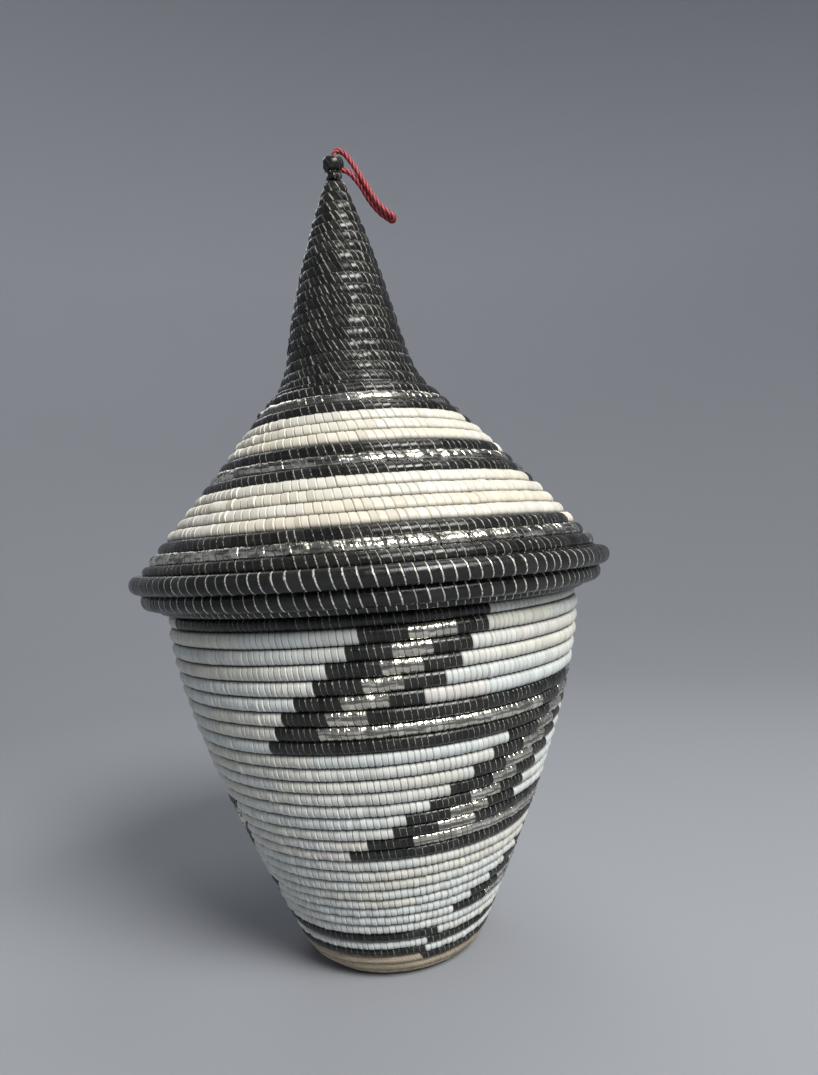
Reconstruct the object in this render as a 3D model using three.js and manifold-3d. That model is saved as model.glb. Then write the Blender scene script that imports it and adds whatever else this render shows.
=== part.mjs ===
// Lidded basket wound from coils, with a spired lid and a cord loop at its tip.
// Millimetres, +Z up. The origin is the middle of the underside, and the front faces -Y.

import * as THREE from 'three';
import { mergeVertices } from 'three/addons/utils/BufferGeometryUtils.js';
import Module from 'manifold-3d';

// The basket, given on the line through the middle of its coils
const COIL = 6.2;               // thickness of the wall, which is one coil
const FOOT_RADIUS = 33;         // flat part of the underside
const HEEL_RADIUS = 44;         // where the start coils have turned up into the wall
const HEEL_HEIGHT = 13.5;
const HEEL_FLARE = 24.5;        // degrees that the wall leans out above the heel
const HEEL_PULL = 30;           // how far the wall keeps that lean
const MOUTH_RADIUS = 95.2;
const MOUTH_HEIGHT = 167.5;     // top of the basket without its lid
const MOUTH_PULL = 46;          // how far down the wall stays upright below the mouth
const HEEL_PITCH = 5.1;         // height of one row of coil near the base
const MOUTH_PITCH = 6.6;        // and at the mouth
const BASKET_COIL_END = 252;    // degrees from the front to where the coil runs out

// The lid's three rim coils, from the mouth outwards
const NECK_COIL = 5.8;          // thin coil that rests on the mouth
const NECK_OFFSET = 4.2;        // how far it lies outside the middle of the mouth's wall
const UNDER_COIL = 8.2;         // thick coil under the edge
const UNDER_RISE = 31;          // degrees from the neck coil up to it
const EDGE_COIL = 8.4;          // thick coil at the edge
const EDGE_RISE = 59;           // degrees from the under coil up to it

// The collar that drops into the mouth
const COLLAR_WALL = 5;
const COLLAR_DEPTH = 17;        // how far it reaches below the mouth
const COLLAR_CLEARANCE = 1;     // space round it in the mouth
const COLLAR_SHELF = 5;         // thickness of the ring that joins it to the neck coil
const COLLAR_ROWS = 3;
const SHELF_BEVEL = 1;

// The cone and the spire, with heights counted from the mouth
const FOOT_OF_SPIRE_RADIUS = 31.3;
const FOOT_OF_SPIRE_HEIGHT = 105.6;
const FOOT_BEND_BELOW = 8;      // length of the bend on the cone's side
const FOOT_BEND_ABOVE = 12;     // and on the spire's side
const CONE_PITCH = 6.6;
const SPIRE_COIL = 5;
const SPIRE_TOP_RADIUS = 2.3;
const SPIRE_TOP_HEIGHT = 205.8;
const SPIRE_SWELL = 4;          // how far the spire's side stands out from straight
const SPIRE_PITCH = 5.4;
const SPIRE_SOLID_TIP = 30;     // length of the tip that has no hollow
const LEAN = 6;                 // how far the spire stands to the left of the middle
const LEAN_FROM = 47;           // heights between which the lid leans over
const LEAN_TO = 142;

// The tip coil and the cord loop
const TIP_RADIUS = 5.5;
const TIP_COIL = 7;             // thickness of the tip coil
const TIP_NECK_RADIUS = 4.5;
const TIP_WAIST_RADIUS = 3.6;   // where the neck meets the tip coil
const TIP_NECK_HEIGHT = 4.5;
const CORD = 2.7;
const CORD_CLEARANCE = 0.35;    // space round the cord in the tip coil
const CORD_SPLICE_HEIGHT = -3;  // from the tip coil's top
const CORD_SPLICE = 0.3;        // space between the cord's two ends

// The coil's surface
const GROOVE = 1.6;             // depth of the groove between two rows
const GAP = 0.3;                // space between two pieces that touch
const SIDES = 28;               // faces round the basket and the lid
const SPIRE_SIDES = 16;
const STEPS_PER_ROW = 3;
const ROWS_PER_INNER_RING = 4;  // the plain inside has fewer points
const EDGE_MARGIN = 0.2;        // least share of a step between an edge and the next point
const COIL_SIDES = 8;           // faces round a rim coil and round the cord
const CORD_STEPS = 41;

const radians = THREE.MathUtils.degToRad;

const finish = {
  whiteStrip: { color: 0xd9d8d2, roughness: 0.45, metalness: 0 },
  blackStrip: { color: 0x1c1c1b, roughness: 0.3, metalness: 0 },
  naturalFibre: { color: 0x8f8371, roughness: 0.85, metalness: 0 },
  redCord: { color: 0x8e1f22, roughness: 0.8, metalness: 0 },
};

function part(name, geometry, look) {
  const mesh = new THREE.Mesh(geometry, new THREE.MeshStandardMaterial(look));
  mesh.name = name;
  return mesh;
}

function polar(length, degrees) {
  return new THREE.Vector2(length * Math.cos(radians(degrees)), length * Math.sin(radians(degrees)));
}

// A point beside a centre line, at a share of its length and an offset to its outer side
function beside(line, share, offset) {
  const middle = line.getPoint(THREE.MathUtils.clamp(share, 0, 1));
  const along = line.getTangent(THREE.MathUtils.clamp(share, 0, 1));
  return new THREE.Vector2(middle.x + along.y * offset, middle.y - along.x * offset);
}

// How far a coil's surface lies below its crest, over one row from groove to groove
function sunk(row) {
  const across = 2 * (row - Math.floor(row)) - 1;
  return GROOVE * (1 - Math.sqrt(1 - across * across));
}

// How the rows of a coil follow each other along a line, from one pitch to another
function winding(line, pitchBelow, pitchAbove) {
  const length = line.getLength();
  const turns = (2 * length) / (pitchBelow + pitchAbove);
  const growth = (pitchAbove - pitchBelow) / (2 * turns);
  const shareAt = (turn) => (pitchBelow * turn + growth * turn * turn) / length;
  return { turns, shareAt };
}

// Points and faces that are collected one by one and then become a geometry
function surface() {
  const positions = [];
  const faces = [];

  function point(x, y, z) {
    return positions.push(x, y, z) / 3 - 1;
  }
  function triangle(a, b, c) {
    if (a !== b && b !== c && a !== c) faces.push(a, b, c);
  }
  function quad(a, b, c, d) {
    triangle(a, b, c);
    triangle(a, c, d);
  }
  function geometry() {
    const result = new THREE.BufferGeometry();
    result.setAttribute('position', new THREE.Float32BufferAttribute(positions, 3));
    result.setIndex(faces);
    result.computeVertexNormals();
    return result;
  }
  return { point, triangle, quad, geometry };
}

// A round wall of one coil, wound along a line. Its outside is a true spiral: each column of
// points lies a little higher than the last, and after one round it meets the row above.
// The phase is the turn at which a row's groove passes the front. A wall closed at its start
// gets a floor and starts smooth, and one with a solid tip is closed at its end.
function coiledWall({
  line, wound, phase = 0, from = 0, to = wound.turns, wall, sides, closedStart, solidTip, lean,
}) {
  const { point, triangle, quad, geometry } = surface();
  const leanAt = lean ?? (() => 0);

  function addPoint(radius, height, angle) {
    return point(radius * Math.sin(angle) + leanAt(height), -radius * Math.cos(angle), height);
  }
  function addSurfacePoint(turn, angle, offset) {
    const spot = beside(line, wound.shareAt(turn), offset);
    return addPoint(spot.x, spot.y, angle);
  }

  // One column of the outside, from the bottom edge through the rows to the top edge
  function outerColumn(column) {
    const angle = (2 * Math.PI * column) / sides;
    const start = column / sides + phase;
    const outerPoint = (turn) => {
      const fade = closedStart ? Math.min(1, turn - from) : 1;
      return addSurfacePoint(turn, angle, wall / 2 - fade * sunk(turn - start));
    };
    const points = new Map();
    const first = Math.ceil((from - start) * STEPS_PER_ROW + EDGE_MARGIN);
    const last = Math.floor((to - start) * STEPS_PER_ROW - EDGE_MARGIN);
    const bottom = outerPoint(from);
    for (let step = first; step <= last; step += 1) {
      points.set(step, outerPoint(start + step / STEPS_PER_ROW));
    }
    const top = outerPoint(to);
    const at = (step) => points.get(step) ?? (step < first ? bottom : top);
    return { at, first, last, bottom, top };
  }

  const columns = Array.from({ length: sides }, (_, column) => outerColumn(column));
  for (let column = 0; column < sides; column += 1) {
    const here = columns[column];
    const closing = column === sides - 1;
    const next = columns[closing ? 0 : column + 1];
    const shift = closing ? STEPS_PER_ROW : 0;
    const lowest = Math.min(here.first, next.first - shift) - 1;
    const highest = Math.max(here.last, next.last - shift) + 1;
    for (let step = lowest; step < highest; step += 1) {
      quad(here.at(step), next.at(step + shift), next.at(step + shift + 1), here.at(step + 1));
    }
  }

  // The plain inside, as rings of points
  const innerOffset = GROOVE / 2 - wall / 2;
  const innerTo = solidTip ? to - solidTip : to;
  const rings = Math.max(2, Math.round((innerTo - from) / ROWS_PER_INNER_RING));
  const inside = Array.from({ length: rings + 1 }, (_, ring) =>
    Array.from({ length: sides }, (_, column) => {
      const turn = THREE.MathUtils.lerp(from, innerTo, ring / rings);
      return addSurfacePoint(turn, (2 * Math.PI * column) / sides, innerOffset);
    }));

  function middleOf(turn, offset) {
    return addPoint(0, beside(line, wound.shareAt(turn), offset).y, 0);
  }
  const bottomCentre = closedStart && middleOf(from, wall / 2);
  const floorCentre = closedStart && middleOf(from, innerOffset);
  const topCentre = solidTip && middleOf(to, wall / 2);
  const hollowCentre = solidTip && middleOf(innerTo, innerOffset);

  for (let column = 0; column < sides; column += 1) {
    const next = (column + 1) % sides;
    for (let ring = 0; ring < rings; ring += 1) {
      quad(inside[ring][column], inside[ring + 1][column], inside[ring + 1][next], inside[ring][next]);
    }
    const low = [columns[column].bottom, columns[next].bottom];
    const lowInside = [inside[0][column], inside[0][next]];
    if (closedStart) {
      triangle(bottomCentre, low[1], low[0]);
      triangle(floorCentre, lowInside[0], lowInside[1]);
    } else {
      quad(low[0], lowInside[0], lowInside[1], low[1]);
    }
    const high = [columns[column].top, columns[next].top];
    const highInside = [inside[rings][column], inside[rings][next]];
    if (solidTip) {
      triangle(topCentre, high[0], high[1]);
      triangle(hollowCentre, highInside[1], highInside[0]);
    } else {
      quad(high[0], high[1], highInside[1], highInside[0]);
    }
  }
  return geometry();
}

// A closed outline of radius and height, turned about the Z axis
function revolve(outline, sides) {
  const geometry = new THREE.LatheGeometry(outline, sides);
  geometry.rotateX(Math.PI / 2);
  return geometry;
}

// A round tube along a path
function tube(path, radius, steps) {
  const section = new THREE.Shape();
  section.absarc(0, 0, radius, 0, 2 * Math.PI, false);
  return new THREE.ExtrudeGeometry(section, { extrudePath: path, steps, curveSegments: COIL_SIDES / 2 });
}

// The basket's centre line, from the flat of the underside to the mouth
const footHeight = COIL / 2;
const heelPull = polar(HEEL_PULL, 90 - HEEL_FLARE);
const basketLine = new THREE.Path();
basketLine.moveTo(FOOT_RADIUS, footHeight);
basketLine.quadraticCurveTo(
  HEEL_RADIUS - (HEEL_HEIGHT - footHeight) * Math.tan(radians(HEEL_FLARE)), footHeight,
  HEEL_RADIUS, HEEL_HEIGHT,
);
const heelLength = basketLine.getLength();
basketLine.bezierCurveTo(
  HEEL_RADIUS + heelPull.x, HEEL_HEIGHT + heelPull.y,
  MOUTH_RADIUS, MOUTH_HEIGHT - MOUTH_PULL,
  MOUTH_RADIUS, MOUTH_HEIGHT,
);
basketLine.updateArcLengths();

const basketWinding = winding(basketLine, HEEL_PITCH, MOUTH_PITCH);
const basketPhase = basketWinding.turns - BASKET_COIL_END / 360;
const heelTurn = heelLength / HEEL_PITCH;
const halfGapTurn = GAP / 2 / HEEL_PITCH;

const basket = new THREE.Group();
basket.add(
  part('base_start_coils', coiledWall({
    line: basketLine,
    wound: basketWinding,
    phase: basketPhase,
    to: heelTurn - halfGapTurn,
    wall: COIL,
    sides: SIDES,
    closedStart: true,
  }), finish.naturalFibre),
  part('basket_wall', coiledWall({
    line: basketLine,
    wound: basketWinding,
    phase: basketPhase,
    from: heelTurn + halfGapTurn,
    wall: COIL,
    sides: SIDES,
  }), finish.whiteStrip),
);

// The lid's rim, with its heights counted from the mouth
const neckCentre = new THREE.Vector2(MOUTH_RADIUS + NECK_OFFSET, GAP + NECK_COIL / 2);
const underCentre = neckCentre.clone().add(polar((NECK_COIL + UNDER_COIL) / 2 + GAP, UNDER_RISE));
const edgeCentre = underCentre.clone().add(polar((UNDER_COIL + EDGE_COIL) / 2 + GAP, EDGE_RISE));

function rimCoil(name, centre, thickness) {
  const geometry = new THREE.TorusGeometry(centre.x, thickness / 2, COIL_SIDES, SIDES);
  const mesh = part(name, geometry, finish.blackStrip);
  mesh.position.z = centre.y;
  return mesh;
}

// The collar follows the inside of the mouth, and its top ring reaches out to the neck coil
function collar() {
  const nearMouth = (depth, offset) => {
    const spot = beside(basketLine, 1 - depth / basketLine.getLength(), offset);
    return new THREE.Vector2(spot.x, spot.y - MOUTH_HEIGHT);
  };
  const outerOffset = -(COIL / 2 + COLLAR_CLEARANCE);
  const steps = COLLAR_ROWS * STEPS_PER_ROW;
  const outside = Array.from({ length: steps + 1 }, (_, step) =>
    nearMouth((COLLAR_DEPTH * step) / steps, outerOffset - sunk(step / STEPS_PER_ROW)));
  const inside = Array.from({ length: COLLAR_ROWS + 1 }, (_, row) =>
    nearMouth((COLLAR_DEPTH * row) / COLLAR_ROWS, outerOffset - COLLAR_WALL));
  const shelfRadius = neckCentre.x - NECK_COIL / 2 - GAP;
  const shelfTop = GAP + COLLAR_SHELF;
  const outline = [
    ...inside,
    ...outside.slice(1).reverse(),
    new THREE.Vector2(outside[1].x, GAP),
    new THREE.Vector2(shelfRadius, GAP),
    new THREE.Vector2(shelfRadius, shelfTop - SHELF_BEVEL),
    new THREE.Vector2(shelfRadius - SHELF_BEVEL, shelfTop),
    new THREE.Vector2(inside[0].x + SHELF_BEVEL, shelfTop),
    new THREE.Vector2(inside[0].x, shelfTop - SHELF_BEVEL),
    inside[0],
  ];
  return revolve(outline, SIDES);
}

function leanAt(height) {
  return -LEAN * THREE.MathUtils.smoothstep(height, LEAN_FROM, LEAN_TO);
}

// The centre lines of the cone and the spire, which bend into each other
const footOfSpire = new THREE.Vector2(FOOT_OF_SPIRE_RADIUS, FOOT_OF_SPIRE_HEIGHT);
const upCone = footOfSpire.clone().sub(edgeCentre).normalize();
const coneStart = edgeCentre.clone().addScaledVector(upCone, EDGE_COIL / 2 + GAP);
const coneEnd = footOfSpire.clone().addScaledVector(upCone, -FOOT_BEND_BELOW);
const coneLine = new THREE.Path();
coneLine.moveTo(coneStart.x, coneStart.y);
coneLine.lineTo(coneEnd.x, coneEnd.y);
const coneWinding = winding(coneLine, CONE_PITCH, CONE_PITCH);

const spireTop = new THREE.Vector2(SPIRE_TOP_RADIUS, SPIRE_TOP_HEIGHT);
const upSpire = spireTop.clone().sub(footOfSpire).normalize();
const outOfSpire = new THREE.Vector2(upSpire.y, -upSpire.x);
const bendEnd = footOfSpire.clone().addScaledVector(upSpire, FOOT_BEND_ABOVE);
const swell = bendEnd.clone().lerp(spireTop, 0.5).addScaledVector(outOfSpire, SPIRE_SWELL);
const spireStart = coneEnd.clone().addScaledVector(upCone, GAP);
const spireLine = new THREE.Path();
spireLine.moveTo(spireStart.x, spireStart.y);
spireLine.quadraticCurveTo(footOfSpire.x, footOfSpire.y, bendEnd.x, bendEnd.y);
spireLine.quadraticCurveTo(swell.x, swell.y, spireTop.x, spireTop.y);
const spireWinding = winding(spireLine, SPIRE_PITCH, SPIRE_PITCH);

const lid = new THREE.Group();
lid.position.z = MOUTH_HEIGHT;
lid.add(
  part('lid_collar', collar(), finish.naturalFibre),
  rimCoil('lid_neck_coil', neckCentre, NECK_COIL),
  rimCoil('lid_under_coil', underCentre, UNDER_COIL),
  rimCoil('lid_edge_coil', edgeCentre, EDGE_COIL),
  part('lid_cone', coiledWall({
    line: coneLine,
    wound: coneWinding,
    wall: COIL,
    sides: SIDES,
    lean: leanAt,
  }), finish.whiteStrip),
  part('lid_spire', coiledWall({
    line: spireLine,
    wound: spireWinding,
    wall: SPIRE_COIL,
    sides: SPIRE_SIDES,
    solidTip: SPIRE_SOLID_TIP / SPIRE_PITCH,
    lean: leanAt,
  }), finish.blackStrip),
);

// The tip, with heights counted from the top of the tip coil and its middle at x = 0
const flatOfSpire = beside(spireLine, 1, SPIRE_COIL / 2).y;
const tip = new THREE.Group();
tip.position.set(leanAt(SPIRE_TOP_HEIGHT), 0, flatOfSpire + GAP + TIP_NECK_HEIGHT + TIP_COIL);

// The cord's middle: out of the tip coil, over its edge, down, round and back in below it.
// The two runs lie against each other and wind a little round one another.
const cordPoints = [
  [0, 0, CORD_SPLICE_HEIGHT],
  [0, 0, -1.6],
  [0.1, 0, 0.1],
  [0.7, 0, 1.8],
  [1.7, 0, 2.9],
  [3.1, 0, 3.2],
  [4.9, -0.1, 2.5],
  [7.1, -0.3, 0.2],
  [9.9, -0.5, -4.3],
  [12.5, -0.65, -9],
  [15.2, -0.85, -14],
  [19.1, -1, -21.2],
  [23.3, -1.15, -27.1],
  [26.5, -1.3, -30],
  [27.7, -1.3, -31],
  [28.3, -0.9, -31.9],
  [28.2, 0, -32.7],
  [27.4, 0.9, -32.8],
  [26.4, 1.3, -32.2],
  [25.4, 1.3, -31.3],
  [21.9, 1.15, -28.4],
  [17.3, 1, -22.4],
  [13.3, 0.85, -14.9],
  [10, 0.6, -10.1],
  [7.4, 0.3, -7.5],
  [4.6, 0.1, -6.3],
  [2.2, 0, -6],
  [0.6, 0, -5.4],
  [0, 0, -4.5],
  [0, 0, CORD_SPLICE_HEIGHT - CORD_SPLICE],
].map((point) => new THREE.Vector3(...point));
const cordPath = new THREE.CatmullRomCurve3(cordPoints, false, 'centripetal');

// A geometry as a solid for joining and cutting, and back
const kernel = await Module();
kernel.setup();

function toSolid(geometry) {
  const bare = geometry.clone();
  bare.deleteAttribute('normal');
  bare.deleteAttribute('uv');
  const merged = mergeVertices(bare);
  return new kernel.Manifold(new kernel.Mesh({
    numProp: 3,
    vertProperties: new Float32Array(merged.attributes.position.array),
    triVerts: new Uint32Array(merged.index.array),
  }));
}

function toGeometry(solid) {
  const mesh = solid.getMesh();
  const geometry = new THREE.BufferGeometry();
  geometry.setAttribute('position', new THREE.BufferAttribute(new Float32Array(mesh.vertProperties), 3));
  geometry.setIndex(new THREE.BufferAttribute(new Uint32Array(mesh.triVerts), 1));
  geometry.computeVertexNormals();
  return geometry;
}

// The topmost coil on its short neck, with a hole that the cord runs through
function tipCoil() {
  const bottom = -(TIP_COIL + TIP_NECK_HEIGHT);
  const beadRadius = TIP_COIL / 2;
  const beadMiddle = TIP_RADIUS - beadRadius;
  const beadStart = -Math.acos((TIP_WAIST_RADIUS - beadMiddle) / beadRadius);
  const outline = new THREE.Path();
  outline.moveTo(0, bottom);
  outline.lineTo(TIP_NECK_RADIUS, bottom);
  outline.absarc(beadMiddle, -beadRadius, beadRadius, beadStart, Math.PI / 2, false);
  outline.lineTo(0, 0);
  const holeRadius = CORD / 2 + CORD_CLEARANCE;
  const hole = tube(cordPath, holeRadius, CORD_STEPS);
  const spliceHole = new THREE.CylinderGeometry(holeRadius, holeRadius, 2 * CORD, COIL_SIDES);
  spliceHole.rotateX(Math.PI / 2);
  spliceHole.translate(0, 0, CORD_SPLICE_HEIGHT);
  return toGeometry(
    toSolid(revolve(outline.getPoints(COIL_SIDES / 2), SPIRE_SIDES))
      .subtract(toSolid(spliceHole))
      .subtract(toSolid(hole)),
  );
}

tip.add(
  part('lid_tip_coil', tipCoil(), finish.blackStrip),
  part('hanging_loop', tube(cordPath, CORD / 2, CORD_STEPS), finish.redCord),
);
lid.add(tip);

const liddedBasket = new THREE.Group();
liddedBasket.add(basket, lid);

export default liddedBasket;
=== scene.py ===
"""A coiled basket with a spired lid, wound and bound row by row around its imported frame."""

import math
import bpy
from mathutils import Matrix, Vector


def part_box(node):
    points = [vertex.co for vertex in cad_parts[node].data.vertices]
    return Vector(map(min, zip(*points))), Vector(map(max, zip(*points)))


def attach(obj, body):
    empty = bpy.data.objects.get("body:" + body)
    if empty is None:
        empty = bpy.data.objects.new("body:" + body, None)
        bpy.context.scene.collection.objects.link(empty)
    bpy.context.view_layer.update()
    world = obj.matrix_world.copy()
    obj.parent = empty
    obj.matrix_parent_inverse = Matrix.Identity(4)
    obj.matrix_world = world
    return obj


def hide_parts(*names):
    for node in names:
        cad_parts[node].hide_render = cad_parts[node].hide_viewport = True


bl_info = {
    "name": "Coiled Lidded Basket",
    "version": (1, 0, 0),
    "blender": (4, 5, 0),
    "location": "3D View > Sidebar > Basket",
    "description": "Winds a coiled basket and its spired lid, strip by strip, on a studio floor",
    "category": "Add Mesh",
}

import bmesh
import bpy
import numpy as np
from bpy.props import FloatProperty, FloatVectorProperty, IntProperty, PointerProperty
from mathutils import Vector

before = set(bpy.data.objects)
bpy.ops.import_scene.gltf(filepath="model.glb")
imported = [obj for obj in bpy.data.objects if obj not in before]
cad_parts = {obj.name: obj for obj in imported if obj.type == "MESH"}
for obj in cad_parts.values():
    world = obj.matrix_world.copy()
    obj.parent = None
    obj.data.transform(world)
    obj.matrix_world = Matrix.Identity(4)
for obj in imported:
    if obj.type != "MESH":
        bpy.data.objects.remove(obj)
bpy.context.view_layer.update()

MM = 0.001
FULL_TURN = 2 * math.pi

# The basket's centre line: flat floor, heel and wall, as (radius, height) in millimetres
FLOOR_HEIGHT = 3.1
FOOT_RADIUS = 33.0
HEEL_RADIUS = 44.0
HEEL_HEIGHT = 13.5
HEEL_FLARE = math.radians(24.5)
HEEL_PULL = 30.0
MOUTH_RADIUS = 95.2
MOUTH_HEIGHT = 167.5
MOUTH_PULL = 46.0
HEEL_PITCH = 4.45
MOUTH_PITCH = 6.7
COIL_END = 0.7

# The lid's lines, with heights above the mouth. Each of its rim coils is given as
# its radius, height, half width and half height.
NECK_RING = (99.4, 3.2, 2.9, 2.9)
UNDER_RING = (105.66, 6.96, 4.1, 4.1)
EDGE_RING = (110.09, 14.33, 4.2, 4.2)
CONE_FOOT = (107.15, 17.74)
CONE_TOP = (36.53, 99.54)
CONE_PITCH = 6.6
SPIRE_FOOT = (36.33, 99.77)
SPIRE_FOOT_PULL = (31.3, 105.6)
SPIRE_KNEE = (27.96, 117.13)
SPIRE_BELLY = (18.97, 162.58)
SPIRE_TOP = (2.3, 205.8)
SPIRE_PITCH = 5.8

# The collar's coil, how far its line stays inside the collar's top and bottom, and the
# radius at which its wraps are spaced
COLLAR_RADIUS = 88.6
COLLAR_PITCH = 5.4
COLLAR_COIL = 5.0
COLLAR_STRIP = 6.0
COLLAR_INSET = 1.5
COLLAR_INSIDE = 88.4

# The tip's top above the floor, its bead as (middle radius, half width, half height), and
# the line of the neck below the bead, with heights from the tip's top
TIP_TOP = 386.0
TIP_BEAD = (2.9, 2.6, 3.5)
BEAD_STRIP = 1.6
BEAD_SEAM = 0.4
TIP_NECK = ((2.4, -11.6), (1.7, -6.8))
TIP_NECK_PITCH = 3.1
TIP_NECK_COIL = 4.0
TIP_NECK_STRIP = 2.4
TIP_NECK_OUTSIDE = 3.2

# The lid leans a little to the left above this height over the mouth
LEAN = 6.0
LEAN_FROM = 47.0
LEAN_TO = 142.0

# The cord's route: x, y and z from the centre of the tip coil's top
LOOP_ROUTE = (
    (0, 0, -3), (0, 0, -1.6), (0.1, 0, 0.1), (0.7, 0, 1.8), (1.7, 0, 2.9), (3.1, 0, 3.2),
    (4.9, -0.1, 2.5), (7.1, -0.3, 0.2), (9.9, -0.5, -4.3), (12.5, -0.65, -9),
    (15.2, -0.85, -14), (19.1, -1, -21.2), (23.3, -1.15, -27.1), (26.5, -1.3, -30),
    (27.7, -1.3, -31), (28.3, -0.9, -31.9), (28.2, 0, -32.7), (27.4, 0.9, -32.8),
    (26.4, 1.3, -32.2), (25.4, 1.3, -31.3), (21.9, 1.15, -28.4), (17.3, 1, -22.4),
    (13.3, 0.85, -14.9), (10, 0.6, -10.1), (7.4, 0.3, -7.5), (4.6, 0.1, -6.3),
    (2.2, 0, -6), (0.6, 0, -5.4), (0, 0, -4.5), (0, 0, -3.3),
)

# The cord's plies, the length in which they go once round it, and its mesh
CORD_PLIES = 4
CORD_LAY = 12.8
CORD_CORE = 0.68
PLY_HEIGHT = 0.35
PLY_ROUNDNESS = 0.6
CORD_STEP = 0.3
CORD_SIDES = 32

# How a row's section is rounded, and how far neighbouring rows press into each other
SECTION_POWER = 2.15
ROW_PRESS = 1.07
SPIRE_PRESS = 1.25
# Distance from a straight tube's axis of the rings in its gaps, where those on its strips
# are at 1, and the distances that tell a strip's rings and a gap's rings from the axis
LOW_MARK = 0.5
STRIP_MARK = 0.75
GAP_MARK = 0.25
# How close together two points of a straight tube are merged, and how far before its wrap,
# which is 1 long, a point may be read
MERGE = 0.002
SLACK = 0.003
# How much of a gap's depth also shows at the top and the bottom of a row
GAP_NOTCH = 0.75
# How unevenly wide the strips are pulled, and how far the rows wander, in millimetres
WIDTH_SPREAD = 0.09
SPIRE_SPREAD = 0.2
WALL_WANDER = 0.2
CONE_WANDER = 0.14
SPIRE_WANDER = 0.12
# Least and most wraps that one strip reaches for, and the tint of a cream one
STRIP_WRAPS = (6, 34)
CREAM_TINT = 0.8
# Radii in millimetres below which a row, and the wraps on it, aren't treated as tighter still
TIGHTEST = 6.0
TIGHTEST_WRAP = 3.0
# The narrowest a wrap is pulled, and the shortest that a last one may be, both as shares
NARROWEST = 0.5
SHORTEST = 0.3


# ---------------------------------------------------------------- sizes and colours


def millimetres(name, description, default, low, high):
    return FloatProperty(
        name=name, description=description, default=default * MM, min=low * MM,
        max=high * MM, unit="LENGTH", subtype="DISTANCE", precision=5,
    )


def colour(name, description, default):
    return FloatVectorProperty(
        name=name, description=description, default=default, size=3,
        min=0.0, max=1.0, subtype="COLOR",
    )


class BasketSizes(bpy.types.PropertyGroup):
    """Sizes of the coils and of the strips that bind them"""

    coil: millimetres("Wall coil", "Thickness of the coil in the wall and the cone", 6.2, 3, 9)
    spire_coil: millimetres("Spire coil", "Thickness of the coil in the spire", 5.0, 3, 7)
    wall_strip: millimetres("Wall strip", "Width of one wrap on the wall", 2.6, 1.5, 8)
    cone_strip: millimetres("Cone strip", "Width of one wrap on the cone", 3.7, 1.5, 8)
    spire_strip: millimetres("Spire strip", "Width of one wrap on the spire", 2.8, 1.5, 8)
    rim_strip: millimetres("Rim strip", "Width of one wrap on the lid's edge", 4.9, 2, 10)
    cord: millimetres("Cord", "Diameter of the hanging cord", 2.7, 1, 5)
    sides: IntProperty(
        name="Section sides", description="Faces around one coil", default=14, min=8, max=32,
    )
    seed: IntProperty(
        name="Seed", description="Picks the small uneven differences of the hand work",
        default=7, min=0, max=9999,
    )


class BasketColours(bpy.types.PropertyGroup):
    """Colours of the strips, the fibre, the cord and the floor"""

    white: colour("White strip", "Strips of the wall's pale rows", (0.75, 0.765, 0.735))
    ivory: colour("Ivory strip", "Strips of the cone's pale rows", (0.80, 0.77, 0.68))
    black: colour("Black strip", "Strips of the dark rows", (0.012, 0.0125, 0.0113))
    silver: colour("Silver strip", "Metallic strips", (0.86, 0.82, 0.72))
    fibre: colour("Bare fibre", "The foundation fibre of the base", (0.48, 0.40, 0.29))
    cord: colour("Cord", "The hanging cord", (0.42, 0.024, 0.036))
    floor: colour("Floor", "Studio floor and backdrop", (0.35, 0.365, 0.395))


# ---------------------------------------------------------------- lines and windings


def curve_points(controls, steps):
    """Points along a Bezier curve of any degree."""
    share = np.linspace(0.0, 1.0, steps)[:, None]
    rows = [np.repeat(np.array([c], float), steps, axis=0) for c in controls]
    while len(rows) > 1:
        rows = [a * (1 - share) + b * share for a, b in zip(rows, rows[1:])]
    return rows[0]


class CentreLine:
    """A line of (radius, height) points, read by the length along it."""

    def __init__(self, points):
        self.points = np.array(points, float)
        steps = np.hypot(*np.diff(self.points, axis=0).T)
        self.lengths = np.concatenate([[0.0], np.cumsum(steps)])
        self.length = self.lengths[-1]
        directions = np.gradient(self.points, self.lengths, axis=0)
        self.directions = directions / np.linalg.norm(directions, axis=1)[:, None]

    def at(self, length):
        """Radius, height, and the line's direction as (outward share, upward share)."""
        length = np.clip(length, 0.0, self.length)
        values = [
            np.interp(length, self.lengths, column)
            for column in (*self.points.T, *self.directions.T)
        ]
        size = np.hypot(values[2], values[3])
        return values[0], values[1], values[2] / size, values[3] / size


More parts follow.
